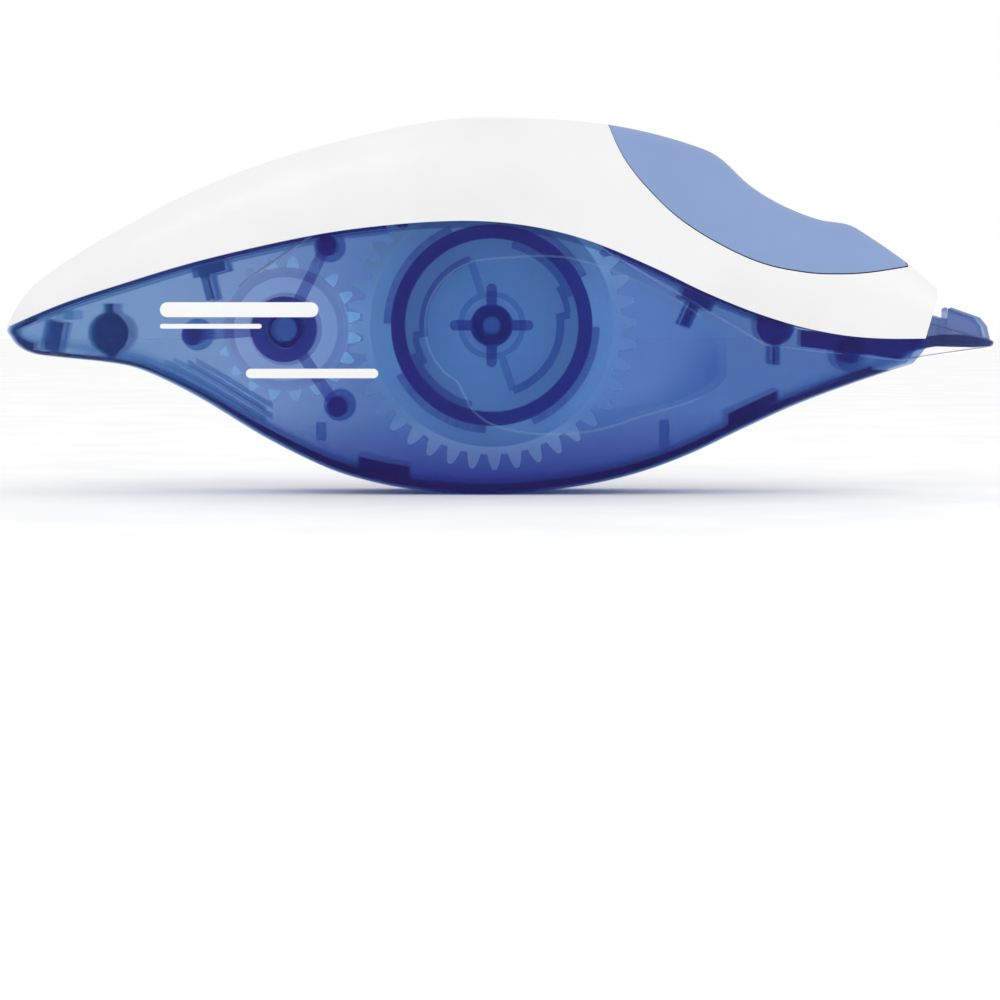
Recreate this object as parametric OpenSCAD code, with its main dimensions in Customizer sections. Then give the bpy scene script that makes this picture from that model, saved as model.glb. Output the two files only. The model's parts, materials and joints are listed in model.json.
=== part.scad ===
// Correction tape roller: two translucent case halves, a top cover with a soft
// finger grip, a geared supply reel with a slipping clutch, a take-up reel and an
// applicator head. Upright: tip towards +X, cover up, near side towards -Y, with
// the origin at the centre of the whole object.

/* [Body] */
// Length from the tail to the applicator tip
body_l = 127.2; // [126:0.1:130]
// Height from the belly to the crown
body_h = 48.4; // [48:0.1:50]
// Width over the flat sides
body_w = 18; // [17.8:0.1:20]
// Wall of the case halves
case_wall = 1.3; // [1.1:0.05:1.4]
// Wall of the top cover
cover_wall = 2; // [1.8:0.05:2.1]
// Thickness of the soft finger grip
grip_t = 0.9; // [0.7:0.05:1]
// Radius of the edges along the belly
belly_r = 2.6; // [2:0.1:3]
// Gap between pieces that are assembled on each other
fit_gap = 0.1; // [0.08:0.01:0.15]

/* [Tape] */
// Width of the tape
tape_w = 5; // [4.2:0.1:5]
// Radius of the roll of unused tape
roll_r = 15.7; // [14:0.1:15.9]
// Radius of the used ribbon on the take-up reel
used_r = 8; // [7.8:0.1:8.3]
// Thickness of the tape where it runs between the reels
web_t = 0.15; // [0.12:0.01:0.2]

/* [Gears] */
// Module of both gears
gear_m = 0.9; // [0.89:0.005:0.905]
// Teeth on the supply gear
supply_teeth = 40; // [40:1:40]
// Teeth on the take-up gear
takeup_teeth = 19; // [19:1:19]
// Pressure angle of the teeth
pressure = 20; // [18:0.5:22]
// Thinning of each tooth at the pitch circle
backlash = 0.12; // [0.08:0.01:0.16]
// Thickness of both gears
gear_t = 1.8; // [1.5:0.1:1.9]
// Radial clearance of whatever turns on a post
running = 0.05; // [0.03:0.01:0.08]

/* [Reels] */
// Outer radius of the supply core
core_r = 13; // [12.9:0.05:13.1]
// Inner radius of the supply core
core_ri = 11.2; // [11.1:0.05:11.3]
// Outer radius of the take-up core
drum_r = 7.6; // [7.5:0.05:7.7]
// Radius of the supply axle
supply_axle_r = 2.6; // [2.5:0.05:2.7]
// Radius of the take-up axle
takeup_axle_r = 2.5; // [2.4:0.05:2.6]
// Wall of the two hollow axles
axle_wall = 0.9; // [0.7:0.05:1]

/* [Hidden] */
$fn = 64;

// Outlines seen from the side, drawn for a body of 127.2 by 48.4: [x, z]
nominal_l = 127.2;
nominal_h = 48.4;
kx = body_l / nominal_l;
kz = body_h / nominal_h;
tail_x = -body_l / 2;
nose_x = 57.2 * kx;
crown_pts = [
    [-63.6, -2.4], [-62.6, -0.4], [-60.5, 2.4], [-57, 5.1], [-50.5, 9.1], [-40, 14.6],
    [-29, 18.9], [-16, 22.4], [-7, 24], [0, 24.2], [7, 24], [13.5, 23.4], [20, 22.1],
    [26.4, 20.1], [28.6, 18.8], [32, 15.6], [36, 13.1], [41, 11.1], [44.6, 10.5],
    [46.2, 9.8], [52.6, 5.4], [55.8, 2.6], [57.2, 1.2]
];
belly_pts = [
    [-63.6, -3.5], [-62.3, -5.2], [-60.5, -6.2], [-57, -6.7], [-51, -7.3], [-47, -8],
    [-43, -9.6], [-38, -12.2], [-30, -17], [-22, -20.9], [-16, -22.7], [-10, -23.7],
    [-2, -24.2], [5, -23.8], [12, -22.8], [18, -21.3], [24, -19.1], [31, -15.8],
    [38, -12.7], [46, -9.8], [52.6, -7.7], [57.2, -6.4]
];
seam_pts = [
    [-63.6, -3], [-56, 0.1], [-48, 2.7], [-40, 5.1], [-31, 7.3], [-22, 9.1], [-14, 10.1],
    [-6, 10.6], [0, 10.4], [6, 9.5], [12, 7.8], [20, 4.4], [26, 1.5], [33, -1.3],
    [40, -3.3], [47, -4.3], [57.2, -4.4]
];
// Half width seen from above; the middle is cut off flat at half of body_w
plan_pts = [
    [-63.6, 3], [-62.4, 4.5], [-59, 5.9], [-50, 7.5], [-40, 8.5], [-30, 9], [-5, 9.8],
    [20, 9], [30, 8.6], [40, 7.3], [50, 5.8], [57.2, 5]
];
grip_pts = [
    [13.4, 24.4], [14.6, 20.9], [16, 18.2], [18.4, 15.1], [22.5, 11.1], [28, 7.6],
    [33.5, 5.2], [39, 4.1], [43, 3.9], [47, 4.1], [52.4, 4.9]
];
crown_power = 3;

// Places along the body and inside it: [x, z]
supply_at = [-1.2, -2.6];
gear_distance = gear_m * (supply_teeth + takeup_teeth) / 2;
takeup_drop = -0.5;
takeup_at = supply_at + [-sqrt(gear_distance ^ 2 - takeup_drop ^ 2), takeup_drop];
guide_at = [35.2, -2.7];
guide_r = 2.45;
upper_guide_r = 1.2;
upper_guides = [[8.5, 16.6], [-11, 16.6]];
bridge_r = 12;
bridge_leg_r = 1.35;
bridge_dirs = [63.7, 183.7, 303.7];
bridge_feet = [for (a = bridge_dirs) takeup_at + bridge_r * [cos(a), sin(a)]];
tail_boss_at = [-50.3, -3.6];
head_boss_at = [44.9, -6.4];
tip_r = 0.35;
tip_at = [body_l / 2 - tip_r - web_t - 0.05, -4.95];

// Layers across the width, as y
tape_y = tape_w / 2;
core_y = tape_y + 0.1;
gear_y = tape_y + 0.3;
gear_back_y = gear_y + gear_t;
upper_wall_y = 5.9;
guide_wall_y = 5.2;
bridge_leg_y = 5.3;
axle_end_y = -4.5;
cap_y = [-6.1, -3.25];

// Point k of a curve through the points p, as a cubic with matched slopes
function slope(p, k) =
    let (a = max(k - 1, 0), b = min(k + 1, len(p) - 1)) (p[b].y - p[a].y) / (p[b].x - p[a].x);
function span_at(p, x, k = 0) = k >= len(p) - 2 || x < p[k + 1].x ? k : span_at(p, x, k + 1);
function curve(p, x) =
    let (
        k = span_at(p, x),
        a = p[k],
        b = p[k + 1],
        h = b.x - a.x,
        t = (x - a.x) / h,
        m0 = slope(p, k) * h,
        m1 = slope(p, k + 1) * h
    )
    (2 * t ^ 3 - 3 * t ^ 2 + 1) * a.y + (t ^ 3 - 2 * t ^ 2 + t) * m0
        + (3 * t ^ 2 - 2 * t ^ 3) * b.y + (t ^ 3 - t ^ 2) * m1;
function crown(x) = kz * curve(crown_pts, x / kx);
function belly(x) = kz * curve(belly_pts, x / kx);
function seam(x) = kz * curve(seam_pts, x / kx);
function half_w(x) = min(body_w / 2, curve(plan_pts, x / kx) * body_w / 18);

// One cross-section of the body, in from its skin by d: [y, z] round half a loop
arc_steps = 5;
crown_steps = 8;
function half_loop(x, d) =
    let (
        zb = belly(x) + d,
        zt = crown(x) - d,
        w = half_w(x) - d,
        zc = min(max(seam(x), zb + 0.4 * (zt - zb)), zt - 0.3 * (zt - zb)),
        r = max(0.2, min(belly_r - 0.6 * d, 0.6 * (zc - zb), 0.6 * w))
    )
    concat(
        [[0, zb]],
        [for (k = [0:arc_steps]) let (a = 90 * k / arc_steps)
            [w - r + r * sin(a), zb + r - r * cos(a)]],
        [for (k = [0:crown_steps - 1]) let (a = 90 * k / crown_steps)
            [w * cos(a) ^ (2 / crown_power), zc + (zt - zc) * sin(a) ^ (2 / crown_power)]],
        [[0, zt]]
    );
function full_loop(x, d) =
    let (h = half_loop(x, d), n = len(h))
    concat([for (p = h) [x, p.x, p.y]], [for (k = [n - 2:-1:1]) [x, -h[k].x, h[k].y]]);

// The whole body as one solid, in from its skin by d
stations = 44;
module body_solid(d) {
    x0 = tail_x + d;
    x1 = nose_x;
    loops = [for (k = [0:stations]) let (t = k / stations)
        full_loop(x0 + (x1 - x0) * (t - sin(360 * t) / 12), d)];
    n = len(loops[0]);
    sides = [for (k = [0:stations - 1], j = [0:n - 1])
        let (a = k * n + j, b = k * n + (j + 1) % n)
        each [[a, b + n, b], [a, a + n, b + n]]];
    caps = [[for (j = [0:n - 1]) j], [for (j = [n - 1:-1:0]) stations * n + j]];
    polyhedron(points = [for (loop = loops) each loop], faces = concat(sides, caps));
}

// A plate between y0 and y1 from an outline drawn as [x, z]
module plate(y0, y1) {
    translate([0, y1, 0]) rotate([90, 0, 0]) linear_extrude(y1 - y0) children();
}
module rod(at, r, y0, y1) {
    plate(y0, y1) translate(at) circle(r);
}
module tube(at, r, ri, y0, y1) {
    plate(y0, y1) translate(at) difference() {
        circle(r);
        circle(ri);
    }
}
module bar(a, b, w, y0, y1) {
    plate(y0, y1) translate(a) rotate(atan2(b.y - a.y, b.x - a.x))
        translate([0, -w / 2]) square([norm(b - a), w]);
}
// A ring sector of mid radius r and width w, from angle a0 to a1
module sector(r, w, a0, a1, steps = 12) {
    polygon(concat(
        [for (k = [0:steps]) let (a = a0 + (a1 - a0) * k / steps) (r + w / 2) * [cos(a), sin(a)]],
        [for (k = [steps:-1:0]) let (a = a0 + (a1 - a0) * k / steps) (r - w / 2) * [cos(a), sin(a)]]
    ));
}

// Everything above the seam, raised by gap, as far forward as x1
far = 80;
module above_seam(gap, x1 = far) {
    xs = [for (k = [0:60]) tail_x - 1 + (x1 - tail_x + 1) * k / 60];
    plate(-far, far) polygon(concat(
        [for (x = xs) [x, seam(max(tail_x, min(x, nose_x))) + gap]], [[x1, far], [tail_x - 1, far]]
    ));
}
// The raked front of the body, moved back by d
module front_limit(d) {
    plate(-far, far) polygon([
        [-far, -far], [-far, far], [56.2 - d, far], [56.2 - d, 1.8], [54.4 - d, -4.3],
        [54.4 - d, -5.6], [52.6 - d, -8], [52.6 - d, -far]
    ]);
}
// The finger grip's region, in from its edge by d
grip_x0 = 13.4;
grip_x1 = 52.4;
module grip_region(d) {
    xs = [for (k = [0:40]) grip_x0 + d + (grip_x1 - grip_x0 - 2 * d) * k / 40];
    plate(-far, far) polygon(concat(
        [for (x = xs) [x, curve(grip_pts, x) + d]], [[grip_x1 - d, far], [grip_x0 + d, far]]
    ));
}
// Pad outline on both flat sides of the case: part of a circle round the supply axle
// that opens out towards the front
pad_depth = 0.3;
module pad_outline() {
    polygon(concat(
        [for (a = [100:10:240]) supply_at + 8.3 * [cos(a), sin(a)]],
        [[-3.2, -13.6], [0.5, -15.6], [6, -16.3], [12, -15.8], [18, -14], [25, -11.8], [28.3, -9.6]],
        [[29.4, -6.6], [28, -4], [24, -0.6], [18, 2.6], [12, 5], [6, 6.1]]
    ));
}
// Where the head and the tape leave the nose
window_y = tape_y + 0.75;
module nose_window() {
    translate([48, -window_y, -8.4]) cube([12, 2 * window_y, 7.4]);
}

// Brings a shell, drawn with its true shape, to the driving length as one surface
module as_shell(len_x) {
    resize([len_x, 0, 0]) children();
}

// Both case halves before their ribs: skin below the seam, hidden walls above it
case_top_x = 36;
shoulder = cover_wall + 2 * fit_gap;
// Thickness of the ledge under the seam that joins skin and hidden walls
ledge_t = 0.7;
module case_shell() {
    difference() {
        intersection() {
            union() {
                difference() {
                    body_solid(0);
                    above_seam(0);
                }
                intersection() {
                    body_solid(shoulder);
                    above_seam(-case_wall, case_top_x);
                }
            }
            front_limit(0);
        }
        difference() {
            intersection() {
                body_solid(case_wall);
                front_limit(case_wall);
            }
            above_seam(-ledge_t, case_top_x);
        }
        body_solid(shoulder + case_wall);
        nose_window();
        for (side = [-1, 1]) translate([0, side * (body_w / 2 + 1 - pad_depth), 0])
            plate(-1, 1) pad_outline();
    }
}
module half_space(side) {
    translate([-far, side < 0 ? -far : 0, -far]) cube([2 * far, far, 2 * far]);
}
case_l = (54.4 + nominal_l / 2) * kx;
module case_half(side) {
    as_shell(case_l) intersection() {
        case_shell();
        half_space(side);
    }
}

// Ribs and bosses stand on the inside of a wall, whose middle is at wall_y(x)
function wall_y(x) = half_w(x) - case_wall / 2;
socket_gap = 0.06;
pin_r = 1.1;

// Pins of the far half sit in sockets of the near half: in the tail boss, and in two
// blocks on the belly wall that meet near the middle
meet_y = 0.1;
tail_boss_r = 2.7;
tail_pin_r = 1.2;
tail_boss_drop = 3.4;
tail_nub = [1.4, 3.8];
block_pin_r = 0.55;
block_x = [-15, 32.3];
block_half_l = 3.3;
block_depths = [0.8, 2.9];
function block_pin_at(x) = [x, belly(x) + 1.9];
// Short upright ribs on the far wall: [x, z, height]
stubs = [[-23.6, -16.6, 2.4], [21.4, -16.8, 3.4]];
stub_w = 1.3;
// Outline of the tail boss: round, drawn out to a point on the belly, with a nub on top
module tail_outline() {
    open = acos(tail_boss_r / tail_boss_drop);
    translate(tail_boss_at) {
        polygon(concat([for (k = [0:24]) let (a = open - 90 + (360 - 2 * open) * k / 24)
            tail_boss_r * [cos(a), sin(a)]], [[0, -tail_boss_drop]]));
        translate([-tail_nub[0] / 2, 2]) square([tail_nub[0], tail_nub[1] - 2]);
    }
}
// Catch that the cover's rim hooks over: a crossbar along the seam with a stem below it
module catch(x, len, stem_dx, stem_w, stem_len, y0, y1) {
    at = [x, seam(x) - 1.1];
    tilt = atan((seam(x + 1) - seam(x - 1)) / 2);
    plate(y0, y1) translate(at) rotate(tilt) {
        translate([-len / 2, -0.8]) square([len, 1.6]);
        translate([stem_dx - stem_w / 2, -stem_len]) square([stem_w, stem_len]);
    }
}
// Rib that follows the belly wall from x0 to x1, between depths d0 and d1 below the skin
module belly_rib(x0, x1, d0, d1, y0, y1) {
    n = max(2, ceil((x1 - x0) / 2));
    xs = [for (k = [0:n]) x0 + (x1 - x0) * k / n];
    plate(y0, y1) polygon(concat(
        [for (x = xs) [x, belly(x) + d0]], [for (k = [n:-1:0]) [xs[k], belly(xs[k]) + d1]]
    ));
}
// Bottom of the blind holes that take the pins of the applicator
head_socket_y = 4.4;
// Ribs that both halves carry, drawn for the half on the given side
catch_depths = [4.4, 5.2];
module shared_ribs(side) {
    function span(x, depth) = side < 0 ? [-wall_y(x), -wall_y(x) + depth] : [wall_y(x) - depth, wall_y(x)];
    tail = span(-58, 4.6);
    plate(tail[0], tail[1])
        translate([-57.7, -4]) rotate(-12) translate([-1.3, -2]) square([2.6, 4]);
    left = span(-37, catch_depths[0]);
    catch(-37.4, 4.4, -0.7, 1.2, 4, left[0], left[1]);
    right = span(26, catch_depths[1]);
    catch(25.2, 4.4, -0.1, 1.5, 3.9, right[0], right[1]);
    seam_tab = span(-56, 1.8);
    plate(seam_tab[0], seam_tab[1])
        translate([-57.1, -1.9]) square([2.3, 1.2]);
    head_boss = span(45, wall_y(45) - window_y - 0.05);
    difference() {
        rod(head_boss_at, 2.2, head_boss[0], head_boss[1]);
        rod(head_boss_at, pin_r + socket_gap, -head_socket_y, head_socket_y);
    }
    rib_a = span(-38, 2.4);
    belly_rib(-43, -30, 2, 2.7, rib_a[0], rib_a[1]);
    belly_rib(-40, -30, 3.4, 4.1, rib_a[0], rib_a[1]);
}
// Hollow axle with a solid foot, from y0 to the far wall
axle_foot = 5;
module axle(at, r, y0) {
    tube(at, r, r - axle_wall, y0, wall_y(at.x) - axle_foot);
    rod(at, r, wall_y(at.x) - axle_foot - 0.05, wall_y(at.x));
}
module guide_stem(y0, y1) {
    bar(guide_at + [0, -1.4], guide_at + [0, -5], 1.1, y0, y1);
}
module belly_block(x, y0, y1) {
    belly_rib(x - block_half_l, x + block_half_l, block_depths[0], block_depths[1], y0, y1);
}

// Tubes of the near wall that face the two axles: the supply one stops short of the cap,
// the take-up one plugs into the bridge
near_tube_r = 2.3;
near_tube_ri = 1.25;
// The near half: sockets for the far half's pins, and ribs against the wall
module front_case() {
    color([0.36, 0.49, 0.74, 0.6]) {
        case_half(-1);
        tube(supply_at, near_tube_r, near_tube_ri, -wall_y(supply_at.x), cap_y[0] - fit_gap);
        tube(takeup_at, takeup_axle_r - fit_gap, takeup_axle_r - axle_wall,
            -wall_y(takeup_at.x), axle_end_y - fit_gap);
        tube(guide_at, guide_r, pin_r + socket_gap, -guide_wall_y, -tape_y - 0.35);
        guide_stem(-wall_y(guide_at.x), -tape_y - 0.25);
        difference() {
            plate(-wall_y(tail_boss_at.x), -meet_y) tail_outline();
            rod(tail_boss_at, tail_pin_r + socket_gap, -3.2, 0);
        }
        for (x = block_x) difference() {
            belly_block(x, -wall_y(x), -meet_y);
            rod(block_pin_at(x), block_pin_r + socket_gap, -2.2, 0);
        }
        shared_ribs(-1);
    }
}

// The far half: both axles, the guides that the tape runs over, and the pins
module rear_case() {
    color([0.36, 0.49, 0.74, 0.6]) {
        case_half(1);
        axle(supply_at, supply_axle_r, -3.2);
        axle(takeup_at, takeup_axle_r, axle_end_y);
        rod(guide_at, guide_r, -tape_y - 0.2, guide_wall_y);
        rod(guide_at, pin_r, -4.4, -tape_y - 0.1);
        guide_stem(tape_y + 0.25, wall_y(guide_at.x));
        for (foot = bridge_feet) {
            back = foot.y > 0 ? upper_wall_y : wall_y(foot.x);
            tube(foot, bridge_leg_r + 0.75, bridge_leg_r + socket_gap, 4.2, bridge_leg_y + 0.1);
            rod(foot, bridge_leg_r + 0.75, bridge_leg_y + 0.05, back);
        }
        for (at = upper_guides) rod(at, upper_guide_r, -tape_y - 0.3, upper_wall_y);
        plate(meet_y, wall_y(tail_boss_at.x)) tail_outline();
        rod(tail_boss_at, tail_pin_r, -3, meet_y + 0.1);
        for (x = block_x) {
            belly_block(x, meet_y, wall_y(x));
            rod(block_pin_at(x), block_pin_r, -2, meet_y + 0.1);
        }
        for (stub = stubs) plate(wall_y(stub.x) - 3, wall_y(stub.x))
            translate([stub.x - stub_w / 2, stub.y - stub[2] / 2]) square([stub_w, stub[2]]);
        shared_ribs(1);
    }
}

// White saddle over the top of the case, with a recess for the grip
module top_cover() {
    color([0.95, 0.95, 0.94]) difference() {
        intersection() {
            body_solid(0);
            above_seam(fit_gap);
            front_limit(0);
        }
        intersection() {
            body_solid(cover_wall);
            front_limit(cover_wall);
        }
        difference() {
            grip_region(0);
            body_solid(grip_t + 0.05);
        }
        nose_window();
    }
}
grip_gap = 0.15;
module finger_grip() {
    color([0.56, 0.65, 0.82]) difference() {
        intersection() {
            body_solid(0);
            grip_region(grip_gap);
        }
        body_solid(grip_t);
    }
}

// Involute gear outline on the origin, with a tooth centred on the direction phase
function inv_angle(r, base) = let (a = acos(min(1, base / r))) tan(a) * 180 / PI - a;
function gear_outline(teeth, phase) =
    let (
        pitch = gear_m * teeth / 2,
        base = pitch * cos(pressure),
        root = pitch - 1.25 * gear_m,
        tip = pitch + gear_m,
        half_pitch = 90 / teeth - backlash / 2 / pitch * 180 / PI,
        steps = 4,
        start = max(base, root),
        flank = [for (k = [0:steps]) let (r = start + (tip - start) * k / steps)
            [r, half_pitch + inv_angle(pitch, base) - inv_angle(r, base)]],
        foot = [root, min(flank[0].y + 0.4, 180 / teeth - 0.3)],
        side = concat([foot], flank)
    )
    [for (t = [0:teeth - 1]) let (mid = phase + 360 * t / teeth) each concat(
        [for (p = side) p.x * [cos(mid - p.y), sin(mid - p.y)]],
        [for (k = [len(side) - 1:-1:0]) side[k].x * [cos(mid + side[k].y), sin(mid + side[k].y)]]
    )];
// The take-up gear's gap meets the supply gear's tooth on the line between the axles
mesh_dir = atan2(takeup_at.y - supply_at.y, takeup_at.x - supply_at.x);

gear_white = [0.86, 0.9, 0.95];
// Gap between pieces that are pressed or keyed onto each other
snug = 0.02;
hub_r = 3.6;
hub_front_y = -3.05;
module supply_gear() {
    bore = supply_axle_r + running;
    color(gear_white) {
        difference() {
            plate(gear_y, gear_back_y) translate(supply_at) difference() {
                polygon(gear_outline(supply_teeth, mesh_dir));
                circle(bore);
            }
            for (y = [gear_y - 1, gear_back_y - 0.4])
                tube(supply_at, 15.4, hub_r + 1.2, y, y + 1.4);
        }
        tube(supply_at, hub_r, bore, hub_front_y, gear_back_y + 0.6);
    }
}

// Friction clutch: a collar keyed on the gear's hub, whose two sprung arms end in shoes
// that rub inside the supply core
arm_r = 8.9;
shoe_out_r = core_ri - running;
collar_r = hub_r + 0.8;
module clutch_spoke() {
    rotate(108) translate([collar_r - 0.2, -0.5]) square([arm_r - collar_r + 0.2, 1]);
}
module clutch_arm() {
    sector(arm_r, 1, 108, 190, 16);
    rotate(190) translate([arm_r - 0.3, -0.9]) square([1.6, 0.9]);
    sector(10, 0.8, 189, 210, 6);
    intersection() {
        sector(shoe_out_r - 0.45, 0.9, 200, 256, 12);
        circle(shoe_out_r);
    }
}
module clutch_spring() {
    color([0.3, 0.38, 0.62]) {
        plate(-0.7, 0.5) translate(supply_at) difference() {
            union() {
                circle(collar_r);
                clutch_spoke();
                rotate(180) clutch_spoke();
            }
            circle(hub_r + snug);
        }
        plate(-1.6, 1.4) translate(supply_at) {
            clutch_arm();
            rotate(180) clutch_arm();
        }
    }
}

// Ring that carries the roll, with lugs that stop the tape from creeping forward
lug_r = 13.9;
lug_arcs = [[28, 87], [113, 179], [208, 267], [293, 359]];
module supply_core() {
    color([0.3, 0.38, 0.66]) {
        tube(supply_at, core_r, core_ri, -core_y, core_y);
        for (a = lug_arcs) translate([0, -core_y, 0]) rotate([90, 0, 0]) translate(supply_at)
            rotate(a[0]) rotate_extrude(angle = a[1] - a[0])
                translate([core_ri + 0.4, -0.1]) square([lug_r - core_ri - 0.4, 0.7]);
    }
}
module tape_roll() {
    color([0.93, 0.95, 0.98]) tube(supply_at, roll_r, core_r + snug, -tape_y, tape_y);
}
// Four-armed cap that keeps the reel on the supply axle, with a hollow plug pressed into
// the axle's bore
cap_r = 2.75;
cap_bore_r = 1.1;
cap_arm_w = 1.35;
cap_arm_end = 4.7;
module supply_cap() {
    color([0.2, 0.2, 0.5]) {
        tube(supply_at, cap_r, cap_bore_r, cap_y[0], cap_y[1]);
        tube(supply_at, supply_axle_r - axle_wall - snug, cap_bore_r, cap_y[1] - 0.1, -0.5);
        plate(cap_y[1] - 1.4, cap_y[1]) translate(supply_at) for (a = [0:90:270]) rotate(a) {
            translate([cap_r - 0.45, -cap_arm_w / 2]) square([cap_arm_end - cap_r + 0.45, cap_arm_w]);
            translate([cap_arm_end, 0]) circle(cap_arm_w / 2);
        }
    }
}

takeup_hub_r = 3.8;
module takeup_gear() {
    bore = takeup_axle_r + running;
    phase = mesh_dir + 180 + 180 / takeup_teeth;
    color(gear_white) {
        plate(gear_y, gear_back_y) translate(takeup_at) difference() {
            polygon(gear_outline(takeup_teeth, phase));
            circle(bore);
        }
        tube(takeup_at, takeup_hub_r, bore, -2.9, gear_back_y + 0.6);
    }
}
// Drum that winds the used ribbon: collar on the gear's hub, web and rim
module takeup_core() {
    color([0.75, 0.82, 0.93]) {
        tube(takeup_at, drum_r, drum_r - 0.9, -core_y, core_y);
        tube(takeup_at, drum_r - 0.5, takeup_hub_r + snug, 1.2, core_y);
        tube(takeup_at, takeup_hub_r + 0.9, takeup_hub_r + snug, -core_y, 1.4);
    }
}
module used_ribbon_roll() {
    color([0.88, 0.9, 0.94]) tube(takeup_at, used_r, drum_r + snug, -tape_y, tape_y);
}
// Three-legged bridge over the take-up reel: a ring on the axle's end, and legs that
// stand on the far wall
bridge_y = [-4.3, -3.3];
bridge_ring = [-7, -3.1];
module takeup_bridge() {
    color([0.25, 0.3, 0.6]) {
        tube(takeup_at, 4.2, takeup_axle_r + snug, bridge_ring[0], bridge_ring[1]);
        for (foot = bridge_feet) {
            bar(takeup_at + 0.3 * (foot - takeup_at), foot, 1.45, bridge_y[0], bridge_y[1]);
            rod(foot, bridge_leg_r, bridge_y[0], bridge_leg_y);
        }
    }
}

// Applicator: a spine held between the bosses in the case, side cheeks that keep the
// tape in line, and a tongue that ends in the pressing edge
cheek_y0 = tape_y + 0.15;
cheek_y1 = tape_y + 0.6;
spine_end = [51.4, -6.45];
spine_end_r = 0.55;
return_guide_at = [51.7, -0.65];
return_guide_r = 0.5;
module head_tongue() {
    polygon([
        [38.6, -3.3], [51.4, -4.6], [57, -3.8], [60, -3.85], [61.2, -4.15], tip_at + tip_r * [0.3, 0.95],
        tip_at + tip_r * [1, 0], tip_at + tip_r * [0.2, -0.98], [61, -5.45], [56, -5.35],
        [52.4, -5.9], spine_end + spine_end_r * [0.9, -0.43], spine_end + spine_end_r * [0.1, -0.99],
        [47, -6.35], [40, -5.45], [38.6, -5.3]
    ]);
}
module head_cheek() {
    polygon([
        [38.8, -3.2], [49.6, -4.3], [50.6, -0.3], [52.4, -0.05], [53.2, -1.15], [55.6, -1.3], [57.4, -1.8],
        [57.5, -0.5], [57.9, -0.3], [61.6, -1.6], [62.5, -2.7], [62.9, -4.4], [62.6, -5.3],
        [56, -5.3], [53, -6], [51.8, -6.9], [38.8, -5.4]
    ]);
}
// Raised rim round the outer face of a cheek, on the part that stands clear of the nose
rim_x = 56.9;
rim_t = 0.4;
module head_rim() {
    difference() {
        intersection() {
            head_cheek();
            translate([rim_x, -20]) square([10, 30]);
        }
        polygon([
            [57.4, -0.95], [58, -0.82], [61.3, -1.97], [62.04, -2.85], [62.42, -4.4], [62.3, -4.85],
            [57.4, -4.85]
        ]);
    }
}
module applicator_head() {
    color([0.36, 0.44, 0.7]) {
        plate(-cheek_y1, cheek_y1) intersection() {
            head_tongue();
            translate([30, -20]) square([31.6, 30]);
        }
        plate(-tape_y - 0.1, tape_y + 0.1) intersection() {
            head_tongue();
            translate([61.4, -20]) square([5, 30]);
        }
        for (y = [-cheek_y1, cheek_y0]) plate(y, y + cheek_y1 - cheek_y0) head_cheek();
        for (y = [-cheek_y1 - rim_t, cheek_y1 - 0.05]) plate(y, y + rim_t + 0.05) head_rim();
        rod(return_guide_at, return_guide_r, -cheek_y1, cheek_y1);
        for (side = [-1, 1]) rod(head_boss_at, pin_r, side < 0 ? -4.3 : cheek_y0, side < 0 ? -cheek_y0 : 4.3);
    }
}

// A strip of tape past round guides, as a plate whose outline is worked out here.
// Each guide is [centre, radius of the strip's middle, which side the strip passes: 1
// where the guide is to the right of the way it runs, -1 where it is to the left].
function left(a) = [-sin(a), cos(a)];
function run_dir(g, k) =
    let (d = g[k + 1][0] - g[k][0])
    atan2(d.y, d.x) - asin((g[k][1] * g[k][2] - g[k + 1][1] * g[k + 1][2]) / norm(d));
function turn(a, b) = let (d = b - a) d > 180 ? d - 360 : d < -180 ? d + 360 : d;
function strip_edge(g, first, last, offset) =
    let (n = len(g), dirs = [for (k = [0:n - 2]) run_dir(g, k)])
    [for (k = [0:n - 1]) let (
            a = k == 0 ? first : dirs[k - 1],
            b = k == n - 1 ? last : dirs[k],
            sweep = turn(a, b),
            steps = max(1, ceil(abs(sweep) / 12))
        )
        for (j = [0:steps])
            g[k][0] + (g[k][2] * g[k][1] + offset) * left(a + sweep * j / steps)];
module strip(g, first, last) {
    plate(-tape_y, tape_y) polygon(concat(
        strip_edge(g, first, last, web_t / 2),
        let (e = strip_edge(g, first, last, -web_t / 2)) [for (k = [len(e) - 1:-1:0]) e[k]]
    ));
}
web_gap = 0.08;
function past(r) = r + web_gap + web_t / 2;
out_guides = [
    [supply_at, past(roll_r), 1], [guide_at, past(guide_r), -1],
    [spine_end, past(spine_end_r), -1], [tip_at, past(tip_r), -1]
];
back_guides = [
    [tip_at, past(tip_r), -1], [return_guide_at, past(return_guide_r), 1],
    [upper_guides[0], past(upper_guide_r), -1], [upper_guides[1], past(upper_guide_r), -1],
    [takeup_at, past(used_r), -1]
];
tip_turn = 80;
module tape_run() {
    color([0.98, 0.98, 0.98]) strip(out_guides, run_dir(out_guides, 0) + 14, tip_turn);
}
module ribbon_run() {
    last = run_dir(back_guides, 3) + 14;
    color([0.9, 0.92, 0.95]) strip(back_guides, tip_turn + 2, last);
}

front_case();
rear_case();
top_cover();
finger_grip();
supply_gear();
clutch_spring();
supply_core();
tape_roll();
supply_cap();
takeup_gear();
takeup_core();
used_ribbon_roll();
takeup_bridge();
applicator_head();
tape_run();
ribbon_run();
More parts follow.
